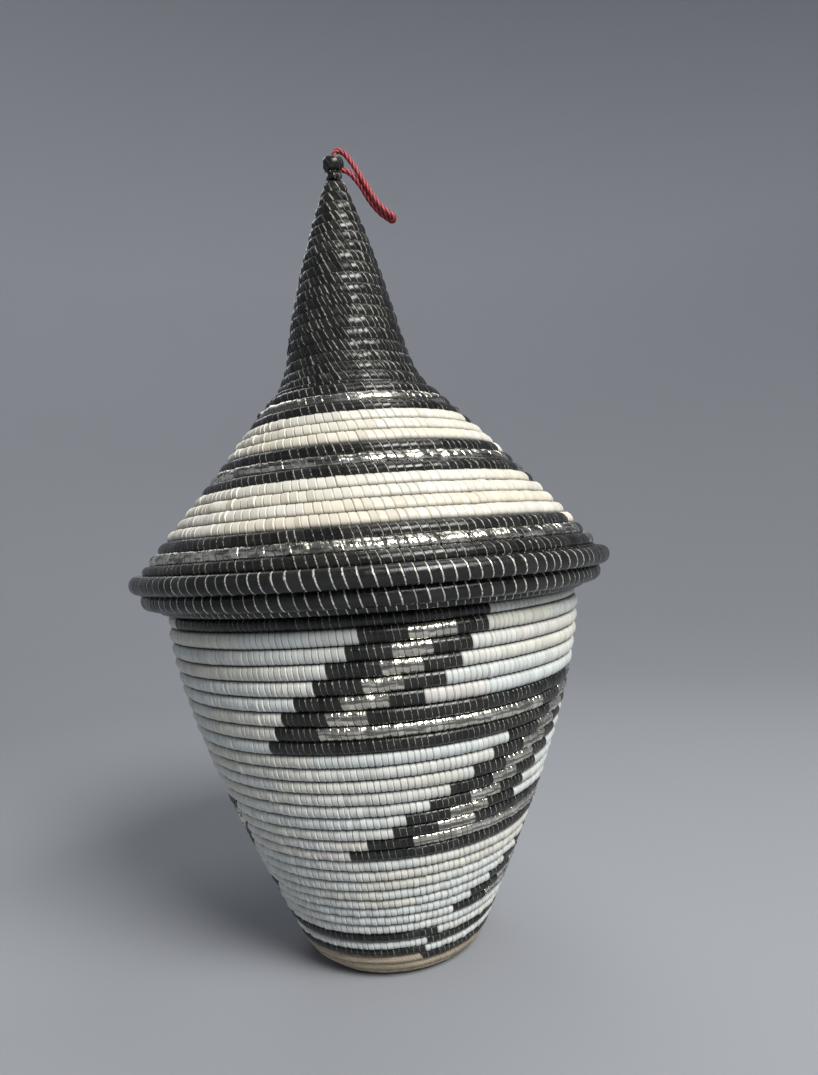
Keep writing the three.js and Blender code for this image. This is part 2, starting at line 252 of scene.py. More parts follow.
class Winding:
    """One coil wound in rows along a centre line, counted in turns from the line's skirt on.

    The skirt is the length that lies before turn 0, front is how far before its last turn
    the coil passes the front, and wander is how far its rows stray, in millimetres.
    """

    def __init__(self, line, first_pitch, last_pitch, front=0.0, skirt=0.0, wander=0.0):
        self.line = line
        self.skirt = skirt
        self.first_pitch = first_pitch
        self.first_turn = -skirt / first_pitch
        reach = line.length - skirt
        self.turns = 2 * reach / (first_pitch + last_pitch)
        self.growth = (last_pitch - first_pitch) / (2 * self.turns)
        self.front = self.turns - front if front else 0.0
        self.wander = wander

    def groove(self, turn):
        """Length along the centre line at which the groove below this turn lies."""
        beyond = np.maximum(turn, 0.0)
        # Waves that never fall in step make the rows wander, and fade out at both ends.
        wave = np.sin(turn * 5.3 + 1.0) + 0.7 * np.sin(turn * 13.7) + 0.5 * np.sin(turn * 29.3)
        ends = np.clip(np.minimum(turn + 6.0, self.turns - turn), 0.0, 1.0)
        uneven = self.wander * wave * ends
        return self.skirt + self.first_pitch * turn + self.growth * beyond * beyond + uneven

    def angle(self, turn):
        """Angle from the front, counter-clockwise seen from above."""
        return FULL_TURN * (turn - self.front)

    def row(self, turn):
        """Middle and half height of the row that starts at this turn."""
        low = self.groove(np.maximum(turn, self.first_turn))
        high = self.groove(np.minimum(turn + 1.0, self.turns))
        return (low + high) / 2, np.maximum(high - low, 0.02) / 2

    def radius(self, turn):
        """Radius of the middle of the row that starts at this turn."""
        middle, _ = self.row(np.array(turn))
        return float(self.line.at(middle)[0])


def basket_line():
    """From the middle of the flat floor, round the heel and up the wall to the mouth."""
    floor_edge = (FOOT_RADIUS, FLOOR_HEIGHT)
    heel = (HEEL_RADIUS, HEEL_HEIGHT)
    bend = (HEEL_RADIUS - (HEEL_HEIGHT - FLOOR_HEIGHT) * math.tan(HEEL_FLARE), FLOOR_HEIGHT)
    pull = (
        HEEL_RADIUS + HEEL_PULL * math.sin(HEEL_FLARE),
        HEEL_HEIGHT + HEEL_PULL * math.cos(HEEL_FLARE),
    )
    mouth = (MOUTH_RADIUS, MOUTH_HEIGHT)
    mouth_pull = (MOUTH_RADIUS, MOUTH_HEIGHT - MOUTH_PULL)
    floor_part = curve_points([(0.0, FLOOR_HEIGHT), floor_edge], 40)
    heel_part = curve_points([floor_edge, bend, heel], 40)
    wall_part = curve_points([heel, pull, mouth_pull, mouth], 300)
    return CentreLine(np.vstack([floor_part, heel_part[1:], wall_part[1:]]))


def cone_line():
    """Straight up the cone from the rim coils to the spire."""
    return CentreLine(curve_points([CONE_FOOT, CONE_TOP], 60))


def spire_line():
    """From the cone's top round a hollow knee and up the full taper to the neck."""
    knee = curve_points([SPIRE_FOOT, SPIRE_FOOT_PULL, SPIRE_KNEE], 60)
    taper = curve_points([SPIRE_KNEE, SPIRE_BELLY, SPIRE_TOP], 200)
    return CentreLine(np.vstack([knee, taper[1:]]))


def smooth_share(value, low, high):
    """0 below low, 1 above high, and a smooth step between them."""
    share = np.clip((value - low) / (high - low), 0.0, 1.0)
    return share * share * (3 - 2 * share)


def power_of(value, power):
    """A power that keeps the sign."""
    return np.sign(value) * np.abs(value) ** power


# ---------------------------------------------------------------- strips wrapped round a coil


class Wraps:
    """The wraps of one piece, run by run, each from one turn to another."""

    def __init__(self):
        self.runs = []

    def add(self, first, last, tint=0.0):
        """A wrap that carries on where the last one ended joins its run."""
        if self.runs and abs(self.runs[-1][-1][1] - first) < 1e-6:
            self.runs[-1].append((first, last, tint))
        else:
            self.runs.append([(first, last, tint)])

    def cells(self):
        """One row of (start, end, tint) for each wrap, and an empty one at each run's end."""
        rows = []
        for run in self.runs:
            rows.extend(run)
            rows.append((run[-1][1], run[-1][1], run[-1][2]))
        return np.array(rows, float)


def spun_mesh(name, lines, axis, steps, closest, hollow=False):
    """Spins open lines of points once round an axis, with the faces out, or in on a bowl."""
    built = bmesh.new()
    for line in lines:
        points = [built.verts.new(point) for point in line]
        for first, last in zip(points, points[1:]):
            built.edges.new((first, last))
    bmesh.ops.spin(
        built, geom=built.verts[:] + built.edges[:], cent=(0, 0, 0), axis=axis,
        angle=FULL_TURN, steps=steps, use_merge=True,
    )
    bmesh.ops.remove_doubles(built, verts=built.verts[:], dist=closest)
    bmesh.ops.recalc_face_normals(built, faces=built.faces[:])
    if hollow:
        bmesh.ops.reverse_faces(built, faces=built.faces[:])
    mesh = bpy.data.meshes.new(name)
    built.to_mesh(mesh)
    built.free()
    mesh.polygons.foreach_set("use_smooth", np.ones(len(mesh.polygons), bool))
    return mesh


def straight_tubes(name, run_lengths, sides, style):
    """Closed straight tubes along X, one for each run, with rings at each wrap's edges."""
    lines = []
    x = 0
    for count in run_lengths:
        profile = [(x, 0.0), (x, LOW_MARK)]
        for k in range(count):
            profile.append((x + k + style.gap, LOW_MARK))
            profile.append((x + k + style.gap + style.shoulder, 1.0))
            profile.append((x + k + 1 - style.shoulder, 1.0))
            profile.append((x + k + 1, LOW_MARK))
        profile.append((x + count, 0.0))
        lines.append([(px, py, 0.0) for px, py in profile])
        x += count + 1
    return spun_mesh(name, lines, (1, 0, 0), sides, MERGE)


def read_vectors(collection, name):
    """One row of three numbers for each item of a mesh's vertices or faces."""
    values = np.zeros(len(collection) * 3, np.float32)
    collection.foreach_get(name, values)
    return values.reshape(-1, 3).astype(float)


def add_layer(mesh, name, values):
    """Keeps a number or a vector for each point of a mesh."""
    kind, field = ("FLOAT_VECTOR", "vector") if values.ndim > 1 else ("FLOAT", "value")
    layer = mesh.attributes.new(name, kind, "POINT")
    layer.data.foreach_set(field, values.astype(np.float32).ravel())


def in_scene(name, data):
    """A new object in the scene."""
    thing = bpy.data.objects.new(name, data)
    bpy.context.scene.collection.objects.link(thing)
    return thing


class Style:
    """How strips lie on a coil.

    Gap and shoulder are shares of a wrap's width, depth is the gap's in millimetres, lean
    is in degrees, and crown and tilt say how unevenly high and how skewed the wraps are.
    """

    def __init__(self, gap, shoulder, depth, lean, crown, tilt):
        self.gap = gap
        self.shoulder = shoulder
        self.depth = depth
        self.lean = math.tan(math.radians(lean))
        self.crown = crown
        self.tilt = tilt


def wrapped_piece(name, wraps, place, style, half, sides, random, materials):
    """Makes the tubes of a piece's runs and bends them along their coil.

    Half is half of the coil's thickness.
    """
    mesh = straight_tubes(name, [len(run) for run in wraps.runs], sides, style)
    straight = read_vectors(mesh.vertices, "co")
    centres = read_vectors(mesh.polygons, "center")
    cells = wraps.cells()
    count = len(cells)
    crown = 1 + random.normal(0.0, style.crown, count)
    tilt = random.normal(0.0, style.tilt, count)
    shade = random.random(count)
    cell = np.clip(np.floor(straight[:, 0] + SLACK).astype(int), 0, count - 1)
    share = straight[:, 0] - cell
    turn = cells[cell, 0] + share * (cells[cell, 1] - cells[cell, 0])
    mark = np.hypot(straight[:, 1], straight[:, 2])
    safe = np.where(mark > 0.1, mark, 1.0)
    across = power_of(straight[:, 1] / safe, 2 / SECTION_POWER)
    along = power_of(-straight[:, 2] / safe, 2 / SECTION_POWER)
    low = 1 - style.depth / half
    on_strip = crown[cell] + tilt[cell] * (share - 0.5)
    outward = np.where(mark > STRIP_MARK, on_strip, np.where(mark > GAP_MARK, low, 0.0))
    notch = 1 - GAP_NOTCH * (1 - low)
    upward = np.where(mark > STRIP_MARK, 1.0, np.where(mark > GAP_MARK, notch, 0.0))
    points, travel = place(turn, across * outward, along * upward, style.lean)
    mesh.vertices.foreach_set("co", (points * MM).astype(np.float32).ravel())
    add_layer(mesh, "laid", np.column_stack([travel, across * half, along * half]))
    add_layer(mesh, "wrap_shade", shade[cell])
    add_layer(mesh, "strip_tint", cells[cell, 2])
    ends = np.zeros(len(mesh.edges) * 2, np.int32)
    mesh.edges.foreach_get("vertices", ends)
    ends = ends.reshape(-1, 2)
    one_ring = np.abs(straight[ends[:, 0], 0] - straight[ends[:, 1], 0]) < 1e-4
    crease = mesh.attributes.new("sharp_edge", "BOOLEAN", "EDGE")
    crease.data.foreach_set("value", one_ring & (mark[ends] > STRIP_MARK).all(axis=1))
    in_cell = centres[:, 0] - np.floor(centres[:, 0] + SLACK)
    in_gap = (in_cell < style.gap * 0.9).astype(np.int32)
    mesh.polygons.foreach_set("material_index", in_gap)
    for material in materials:
        mesh.materials.append(material)
    mesh.update()
    return in_scene(name, mesh)


def row_placer(winding, thickness, height=0.0, leaning=False, press=ROW_PRESS):
    """Puts a straight tube's points on the rows of a winding."""

    def place(turn, across, along, lean):
        middle, half = winding.row(turn)
        radius, level, run_out, run_up = winding.line.at(middle)
        pitch = winding.groove(turn + 1.0) - winding.groove(turn)
        slim = np.clip(half * 2 / pitch, 0.0, 1.0) ** 0.5
        deep = thickness / 2 * slim
        tall = half * press
        out = radius + run_up * deep * across + run_out * tall * along
        up = level - run_out * deep * across + run_up * tall * along
        round_radius = np.maximum(radius, TIGHTEST)
        angle = winding.angle(turn) - lean * tall * along / round_radius
        side = out * np.sin(angle)
        if leaning:
            side = side - LEAN * smooth_share(up, LEAN_FROM, LEAN_TO)
        points = np.column_stack([side, -out * np.cos(angle), up + height])
        return points, winding.angle(turn) * round_radius

    return place


def ring_placer(ring, height, shift=0.0):
    """Puts a straight tube's points round a single ring of round section."""
    radius, level, wide, tall = ring

    def place(turn, across, along, lean):
        angle = FULL_TURN * turn - lean * tall * along / radius
        out = radius + wide * across
        up = level + height + tall * along
        points = np.column_stack([out * np.sin(angle) + shift, -out * np.cos(angle), up])
        return points, FULL_TURN * turn * radius

    return place


class StripTints:
    """Gives each strip its own tint, kept until the strip is used up or changes colour."""

    def __init__(self, random):
        self.random = random
        self.kind = None
        self.left = 0
        self.tint = 0.0

    def next(self, kind, fixed=None):
        """Tint of the next wrap, which is of this kind."""
        if kind != self.kind or self.left <= 0:
            self.kind = kind
            self.left = int(self.random.integers(*STRIP_WRAPS))
            self.tint = float(self.random.random()) if fixed is None else fixed
        self.left -= 1
        return self.tint


def wrap_turns(first, last, radius_at, width, random, spread=WIDTH_SPREAD):
    """Turn values at which one wrap ends and the next begins."""
    turns = [first]
    while turns[-1] < last:
        uneven = max(NARROWEST, 1 + random.normal(0.0, spread))
        step = width * uneven / (FULL_TURN * max(radius_at(turns[-1]), TIGHTEST_WRAP))
        turns.append(turns[-1] + step)
    turns[-1] = last
    if turns[-1] - turns[-2] < SHORTEST * step:
        turns.pop(-2)
    return turns


def steady(radius):
    """The same radius at every turn."""
    return lambda turn: radius


def plain_wraps(turns):
    """Wraps of one kind, each from one of these turns to the next."""
    wraps = Wraps()
    for first, last in zip(turns, turns[1:]):
        wraps.add(first, last)
    return wraps


# ---------------------------------------------------------------- the pattern of the rows

# Widths of a lightning column's first black part, its silver and its last black part
STEP_BLACK = 18.3
STEP_SILVER = 16.4
STEP_LAST = 14.6
# How many uneven steps are drawn before they repeat, and how large they are
UNEVEN_STEPS = 31
UNEVEN_WIDTH = 1.3
# Each lightning column: lowest row, highest row, left edge in degrees at its lowest
# row, and degrees to the right for each row up
COLUMNS = ((8, 0, -29.3, 3.9), (17, 6, -10.0, 6.2), (25, 15, 21.8, 8.4))
PATTERN_FROM = -60.0
# The black row below the rim is white between these angles
TOP_WHITE = (29.9, 95.0)
# The rings above the bare base, and the lowest row that the columns reach
BASE_RINGS = {26: "black", 27: "white", 28: "black"}
LAST_PATTERN_ROW = 24
# Where these rows, and all others, step down to the next ring's colour, in degrees
BASE_JOGS = {26: 22.0, 27: 18.5, 28: 18.5}
BASE_JOG = 15.0
FIRST_BARE_ROW = 29
CREAM_ROW = 3


def column_edges(column, row, radius, uneven):
    """Angles at which a column's black, silver and last black part begin and end."""
    lowest, _, left, slope = column
    start = left + slope * (lowest - row) + uneven[row % UNEVEN_STEPS] * 0.8
    degrees = math.degrees(1.0 / radius)
    black = start + STEP_BLACK * degrees
    silver = black + (STEP_SILVER + uneven[(row + 7) % UNEVEN_STEPS]) * degrees
    end = silver + (STEP_LAST + uneven[(row + 13) % UNEVEN_STEPS]) * degrees
    return start, black, silver, end


def wall_colour(row, degrees, radius, uneven):
    """Colour of the wall's coil in a row, at an angle from the front."""
    if row < 0:
        return "black"
    if row == 0:
        return "white" if TOP_WHITE[0] < degrees < TOP_WHITE[1] else "black"
    found = "white"
    for column, following_column in zip(COLUMNS, (*COLUMNS[1:], None)):
        lowest, highest = column[:2]
        if not highest <= row <= lowest:
            continue
        start, black, silver, end = column_edges(column, row, radius, uneven)
        following = (math.inf,) * 4
        if following_column:
            following = column_edges(following_column, row, radius, uneven)
        if start <= degrees < end:
            found = "black" if degrees < black or degrees >= silver else "silver"
        # Each column's lowest rows run on to the next column as bands.
        if row > LAST_PATTERN_ROW:
            found = "white"
        elif row == lowest and start <= degrees < following[1]:
            found = "black"
        elif row == lowest - 1 and black <= degrees < following[2]:
            found = "silver"
        elif row == lowest - 2 and silver <= degrees < following[3]:
            found = "black"
    return found


def basket_colour(winding, turn, radius, uneven):
    """Colour of the basket's coil at a turn, with its row number at the front."""
    ahead = (turn + 0.5 - winding.front) % 1.0 - 0.5
    front_row = round(winding.front + ahead - turn)
    ring = front_row - (1 if ahead * 360 > BASE_JOGS.get(front_row, BASE_JOG) else 0)
    if ring >= FIRST_BARE_ROW:
        return "fibre", front_row
    if ring in BASE_RINGS:
        return BASE_RINGS[ring], front_row
    if ring > LAST_PATTERN_ROW:
        return "white", front_row
    window = (turn - winding.front - PATTERN_FROM / 360) % 1.0 + PATTERN_FROM / 360
    row = round(winding.front + window - turn)
    degrees = window * 360
    if degrees >= PATTERN_FROM + 180:
        degrees -= 180
    return wall_colour(row, degrees, radius, uneven), front_row


# Where the cone's rings step down by a row, in degrees, and the rows that aren't black
CONE_JOG = 67.0
CONE_SILVER = (1, 8, 14)
CONE_WHITE = (3, 4, 5, 6, 10, 11, 12)


def cone_colour(turn):
    """Colour of the cone's coil: rings that step down by a row at one place."""
    row = math.ceil(turn - CONE_JOG / 360)
    if row in CONE_SILVER:
        return "silver"
    return "ivory" if row in CONE_WHITE else "black"


# ---------------------------------------------------------------- materials


def add_node(tree, kind, values=None, **settings):
    """A node with these settings and these values in its inputs."""
    node = tree.nodes.new(kind)
    for key, value in settings.items():
        setattr(node, key, value)
    for key, value in (values or {}).items():
        node.inputs[key].default_value = value
    return node


def rgba(values):
    return (*values[:3], 1.0)


def made_material(name, fill, *values):
    """The material of this name, made once, with its tree filled in by a function."""
    material = bpy.data.materials.get(name)
    if material is None:
        material = bpy.data.materials.new(name)
        material.use_nodes = True
        tree = material.node_tree
        tree.nodes.clear()
        shader = add_node(tree, "ShaderNodeBsdfPrincipled")
        output = add_node(tree, "ShaderNodeOutputMaterial")
        tree.links.new(shader.outputs["BSDF"], output.inputs["Surface"])
        fill(tree, shader, *values)
    return material


def laid_noise(tree, scale, detail=3.0):
    """Noise on the straightened strip, drawn out along the strip or the coil."""
    laid = add_node(tree, "ShaderNodeAttribute", attribute_name="laid")
    mapping = add_node(tree, "ShaderNodeMapping", {"Scale": scale})
    noise = add_node(tree, "ShaderNodeTexNoise", {"Scale": 1.0, "Detail": detail})
    tree.links.new(laid.outputs["Vector"], mapping.inputs["Vector"])
    tree.links.new(mapping.outputs["Vector"], noise.inputs["Vector"])
    return noise.outputs["Fac"]


def object_noise(tree, scale):
    """Noise in the object's own coordinates, in metres."""
    space = add_node(tree, "ShaderNodeTexCoord")
    noise = add_node(tree, "ShaderNodeTexNoise", {"Scale": scale, "Detail": 2.0})
    tree.links.new(space.outputs["Object"], noise.inputs["Vector"])
    return noise.outputs["Fac"]


def part_of(tree, vector, part):
    """The X, Y or Z part of a vector."""
    parts = add_node(tree, "ShaderNodeSeparateXYZ")
    tree.links.new(vector, parts.inputs["Vector"])
    return parts.outputs[part]


def laid_part(tree, part):
    """X along the coil, Y out of the row and Z up it, in millimetres."""
    laid = add_node(tree, "ShaderNodeAttribute", attribute_name="laid")
    return part_of(tree, laid.outputs["Vector"], part)


def computed(tree, operation, *values):
    """What an operation makes of one or two outputs."""
    node = add_node(tree, "ShaderNodeMath", operation=operation)
    for socket, value in zip(node.inputs, values):
        tree.links.new(value, socket)
    return node.outputs["Value"]


# The sockets of a Mix node that are for colours
MIX_FACTOR, MIX_FIRST, MIX_SECOND, MIX_RESULT = 0, 6, 7, 2


def mixed(tree, factor, first, second, blend="MIX"):
    """Mixes two colours, each given as a colour or as an output."""
    node = add_node(tree, "ShaderNodeMix", data_type="RGBA", blend_type=blend)
    if isinstance(factor, (int, float)):
        node.inputs[MIX_FACTOR].default_value = factor
    else:
        tree.links.new(factor, node.inputs[MIX_FACTOR])
    for socket, value in ((node.inputs[MIX_FIRST], first), (node.inputs[MIX_SECOND], second)):
        if isinstance(value, bpy.types.NodeSocket):
            tree.links.new(value, socket)
        else:
            socket.default_value = rgba(value)
    return node.outputs[MIX_RESULT]


def ramped(tree, value, low, high, to_low=0.0, to_high=1.0):
    """Turns the range from low to high into the other range, and holds it there."""
    node = add_node(
        tree, "ShaderNodeMapRange",
        {"From Min": low, "From Max": high, "To Min": to_low, "To Max": to_high},
    )
    tree.links.new(value, node.inputs["Value"])
    return node.outputs["Result"]


def bumped(tree, shader, height, strength, distance):
    """Gives the shader a relief of this height, in metres."""
    bump = add_node(tree, "ShaderNodeBump", {"Strength": strength, "Distance": distance})
    tree.links.new(height, bump.inputs["Height"])
    tree.links.new(bump.outputs["Normal"], shader.inputs["Normal"])


def shade_of(tree):
    """The wrap's own share, from 0 to 1."""
    return add_node(tree, "ShaderNodeAttribute", attribute_name="wrap_shade").outputs["Fac"]


def scaled(base, factor):
    """A colour that is this much brighter or darker."""
    return tuple(min(1.0, part * factor) for part in base)


def groove_shadow(tree, clear):
    """0 deep in the groove between two rows and 1 on the open face of a coil."""
    return ramped(tree, computed(tree, "ABSOLUTE", laid_part(tree, "Y")), 1.25, clear)


def tint_ramp(tree, stops):
    """Colour of a strip from its own tint."""
    tint = add_node(tree, "ShaderNodeAttribute", attribute_name="strip_tint")
    drift = ramped(tree, laid_noise(tree, (0.02, 0.02, 0.02), 1.0), 0.2, 0.8, -0.25, 0.25)
    ramp = add_node(tree, "ShaderNodeValToRGB")
    elements = ramp.color_ramp.elements
    elements[0].position, elements[0].color = stops[0][0], rgba(stops[0][1])
    elements[1].position, elements[1].color = stops[-1][0], rgba(stops[-1][1])
    for position, value in stops[1:-1]:
        elements.new(position).color = rgba(value)
    tree.links.new(computed(tree, "ADD", tint.outputs["Fac"], drift), ramp.inputs["Fac"])
    return ramp.outputs["Color"]


def pale_strip(tree, shader, base, stops):
    """Matt pale strips with fine fibres along them and uneven tints from strip to strip."""
    fibres = laid_noise(tree, (3.2, 0.22, 0.22))
    patches = object_noise(tree, 60.0)
    tinted = mixed(tree, 1.0, tint_ramp(tree, stops), base, "MULTIPLY")
    by_wrap = mixed(tree, shade_of(tree), (0.84, 0.84, 0.84), (1.0, 1.0, 1.0))
    shaded = mixed(tree, 1.0, tinted, by_wrap, "MULTIPLY")
    streaks = ramped(tree, fibres, 0.42, 0.75, 0.0, 0.30)
    streaked = mixed(tree, streaks, shaded, scaled(base, 0.72))
    dust = ramped(tree, patches, 0.52, 0.75, 0.0, 0.22)
    dusty = mixed(tree, dust, streaked, (0.50, 0.47, 0.40))
    grooved = mixed(tree, groove_shadow(tree, 2.35), scaled(base, 0.16), dusty)
    tree.links.new(grooved, shader.inputs["Base Color"])
    tree.links.new(ramped(tree, fibres, 0.3, 0.7, 0.36, 0.52), shader.inputs["Roughness"])
    bumped(tree, shader, fibres, 0.35, 0.0002)


def black_strip(tree, shader, base):
    """Dark glossy strips with a slight grain along them."""
    fibres = laid_noise(tree, (2.6, 0.2, 0.2))
    wide = laid_noise(tree, (0.5, 0.35, 0.35), 2.0)
    by_wrap = mixed(tree, shade_of(tree), scaled(base, 0.6), scaled(base, 1.7))
    tree.links.new(by_wrap, shader.inputs["Base Color"])
    tree.links.new(ramped(tree, wide, 0.3, 0.7, 0.16, 0.36), shader.inputs["Roughness"])
    shader.inputs["Specular IOR Level"].default_value = 0.45
    bumped(tree, shader, fibres, 0.3, 0.0002)


def silver_strip(tree, shader, base, painted_horizon):
    """Metallic strips, creased so that they sparkle.

    With a horizon, a painted reflection of a dark line of the room runs along each row; without
    one, the painted reflection is light and dark streaks along the rows.
    """
    shader.inputs["Metallic"].default_value = 1.0
    creases = laid_noise(tree, (0.55, 0.4, 0.4), 2.0)
    streaks = laid_noise(tree, (0.16, 0.8, 0.8), 1.0)
    by_wrap = mixed(tree, shade_of(tree), scaled(base, 0.75), scaled(base, 1.2))
    # Painted reflection: the base colour is darkened in a band, a little above each row's
    # middle, where the strip would mirror the dark room.
    if painted_horizon:
        wander = ramped(tree, streaks, 0.3, 0.7, -1.2, 0.2)
        level = computed(tree, "ADD", laid_part(tree, "Z"), wander)
        light = ramped(tree, computed(tree, "ABSOLUTE", level), 0.35, 0.85)
    else:
        # Painted reflection: patchy light and dark streaks along the rows.
        light = ramped(tree, streaks, 0.40, 0.52)
    streaked = mixed(tree, light, scaled(base, 0.3), by_wrap)
    grooved = mixed(tree, groove_shadow(tree, 1.9), scaled(base, 0.1), streaked)
    tree.links.new(grooved, shader.inputs["Base Color"])
    tree.links.new(ramped(tree, creases, 0.3, 0.7, 0.15, 0.34), shader.inputs["Roughness"])
    bumped(tree, shader, creases, 0.65, 0.0008)


def gap_fibre(tree, shader, dark, pale, share, shine):
    """What shows between two wraps: foundation fibre, paler beside some wraps than others."""
    speckle = laid_noise(tree, (0.8, 1.4, 1.4))
    by_wrap = ramped(tree, shade_of(tree), 1.0 - share - 0.2, 1.0 - share + 0.2)
    broken = computed(tree, "MULTIPLY", by_wrap, ramped(tree, speckle, 0.36, 0.56))
    tree.links.new(mixed(tree, broken, dark, pale), shader.inputs["Base Color"])
    shader.inputs["Metallic"].default_value = shine
    shader.inputs["Roughness"].default_value = 0.6 - 0.4 * shine


def bare_fibre(tree, shader, base):
    """Foundation fibre with streaks that run along the coil."""
    streaks = laid_noise(tree, (0.12, 2.4, 2.4), 4.0)
    patches = object_noise(tree, 40.0)
    toned = mixed(tree, ramped(tree, streaks, 0.32, 0.68), scaled(base, 0.55), scaled(base, 1.3))
    warmed = mixed(tree, ramped(tree, patches, 0.45, 0.7, 0.0, 0.5), toned, scaled(base, 0.8))
    tree.links.new(warmed, shader.inputs["Base Color"])
    shader.inputs["Roughness"].default_value = 0.6
    bumped(tree, shader, streaks, 0.6, 0.0005)


def twisted_cord(tree, shader, base):
    """Silky red cord, with painted shade in the dark lines between its plies and a painted
    highlight in the paler ones along their tops.
    """
    ply = add_node(tree, "ShaderNodeAttribute", attribute_name="ply").outputs["Fac"]
    threads = laid_noise(tree, (3.0, 3.0, 3.0))
    # Painted shade: the plies darken into the lines between them.
    shaded_plies = mixed(tree, ramped(tree, ply, 0.36, 0.88), scaled(base, 0.28), scaled(base, 1.1))
    # Painted highlight: the tops of the plies are painted paler and pinker.
    highlit_plies = mixed(tree, ramped(tree, ply, 0.9, 1.0, 0.0, 0.45), shaded_plies, (0.50, 0.17, 0.20))
    flecked = mixed(tree, ramped(tree, threads, 0.45, 0.7, 0.0, 0.2), highlit_plies, (0.50, 0.10, 0.12))
    tree.links.new(flecked, shader.inputs["Base Color"])
    shader.inputs["Roughness"].default_value = 0.45
    shader.inputs["Sheen Weight"].default_value = 0.1
    bumped(tree, shader, threads, 0.4, 0.0003)


def studio_cloth(tree, shader, base):
    """Plain matt cloth, with painted light that makes it a little paler up its wall."""
    space = add_node(tree, "ShaderNodeTexCoord")
    height = part_of(tree, space.outputs["Object"], "Z")
    # Painted light: the cloth gets paler with height up its wall.
    painted_paler_up = mixed(tree, ramped(tree, height, 0.05, 0.9), base, scaled(base, 1.6))
    even = mixed(tree, object_noise(tree, 3.0), (0.97, 0.97, 0.97), (1.0, 1.0, 1.0))
    tree.links.new(mixed(tree, 1.0, painted_paler_up, even, "MULTIPLY"), shader.inputs["Base Color"])
    shader.inputs["Roughness"].default_value = 0.9


# What a strip's colour is multiplied by, from the coolest strips to the warmest
WALL_TINTS = (
    (0.0, (0.94, 0.985, 1.0)), (0.4, (0.975, 1.0, 0.995)), (0.7, (1.0, 0.99, 0.955)),
    (0.85, (1.0, 0.975, 0.885)), (1.0, (1.0, 0.945, 0.915)),
)
CONE_TINTS = (
    (0.0, (1.0, 1.0, 1.0)), (0.6, (0.99, 0.99, 0.98)), (0.85, (1.0, 0.98, 0.93)),
    (1.0, (1.0, 0.96, 0.88)),
)

# The fibre in the gaps between wraps: its dark and its pale colour, the share of pale gaps,
# and how metallic they are
GAPS = {
    "white_gap": ((0.16, 0.17, 0.17), (0.30, 0.31, 0.30), 0.5, 0.0),
    "ivory_gap": ((0.28, 0.25, 0.20), (0.54, 0.49, 0.40), 0.6, 0.0),
    "silver_gap": ((0.05, 0.05, 0.04), (0.30, 0.28, 0.24), 0.4, 0.0),
    "fibre_gap": ((0.16, 0.13, 0.09), (0.40, 0.34, 0.25), 0.6, 0.0),
    "black_gap": ((0.04, 0.04, 0.035), (0.50, 0.48, 0.41), 0.7, 0.0),
    "dull_gap": ((0.04, 0.04, 0.035), (0.34, 0.335, 0.27), 0.7, 0.0),
    "rim_gap": ((0.30, 0.29, 0.25), (0.92, 0.90, 0.82), 0.85, 0.5),
}
# Each finish of the strips: the gaps beside them, their material, the function that fills
# its tree, their colour and what else that function needs
FINISHES = {
    "white": ("white_gap", "white_strip_wall", pale_strip, "white", WALL_TINTS),
    "ivory": ("ivory_gap", "white_strip_cone", pale_strip, "ivory", CONE_TINTS),
    "silver": ("silver_gap", "metal_silver", silver_strip, "silver", True),
    "foil": ("silver_gap", "metal_foil", silver_strip, "silver", False),
    "fibre": ("fibre_gap", "bare_fibre", bare_fibre, "fibre"),
    "black": ("black_gap", "glossy_black", black_strip, "black"),
    "dull": ("dull_gap", "glossy_black", black_strip, "black"),
    "rim": ("rim_gap", "glossy_black", black_strip, "black"),
}
# The wall's black rows have duller gaps, and the cone's silver gets no painted reflection of a
# horizon.
WALL_FINISHES = {"black": "dull"}
CONE_FINISHES = {"silver": "foil"}


def strip_materials(finish):
    """The strip's own material and that of the gaps beside it."""
    gap, name, fill, base, *values = FINISHES[finish]
    base = getattr(bpy.context.scene.basket_colours, base)
    return [made_material(name, fill, base, *values), made_material(gap, gap_fibre, *GAPS[gap])]


def tie_to_frame(piece, body, node):
    """Lets the piece ride on its body, in place of a node's solid."""
    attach(piece, body)
    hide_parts(node)


def chance(offset):
    """The random numbers of one group of pieces."""
    return np.random.default_rng(bpy.context.scene.basket_sizes.seed * 100 + offset)


# ---------------------------------------------------------------- the pieces

WALL_STYLES = {
    "white": Style(0.07, 0.14, 0.34, 6, 0.042, 0.09),
    "black": Style(0.09, 0.09, 0.16, 9, 0.02, 0.05),
    "silver": Style(0.08, 0.11, 0.18, 9, 0.04, 0.12),
    "fibre": Style(0.04, 0.10, 0.12, 30, 0.02, 0.03),
}
CONE_STYLES = {
    "ivory": Style(0.065, 0.10, 0.30, 14, 0.045, 0.10),
    "black": Style(0.09, 0.08, 0.16, 20, 0.02, 0.05),
    "silver": Style(0.08, 0.10, 0.18, 20, 0.05, 0.14),
}
RIM_STYLE = Style(0.11, 0.06, 0.14, 14, 0.014, 0.03)
SPIRE_STYLE = Style(0.15, 0.10, 0.20, 26, 0.05, 0.12)
TIP_STYLE = Style(0.04, 0.12, 0.10, 20, 0.01, 0.02)

# The lowest row of each part that the wall is divided into
WALL_BANDS = ((8, "upper"), (17, "middle"), (math.inf, "lower"))
# The coil's thin end: where it begins, how far it goes round, and its steps
CURL_RADIUS = 1.5
CURL_TURN = 0.95
CURL_STEPS = 20
# The lid's rim coils: name, ring and share of the rim strip's width
RIM_COILS = (
    ("neck_coil", NECK_RING, 0.72),
    ("under_coil", UNDER_RING, 1.0),
    ("edge_coil", EDGE_RING, 1.0),
)


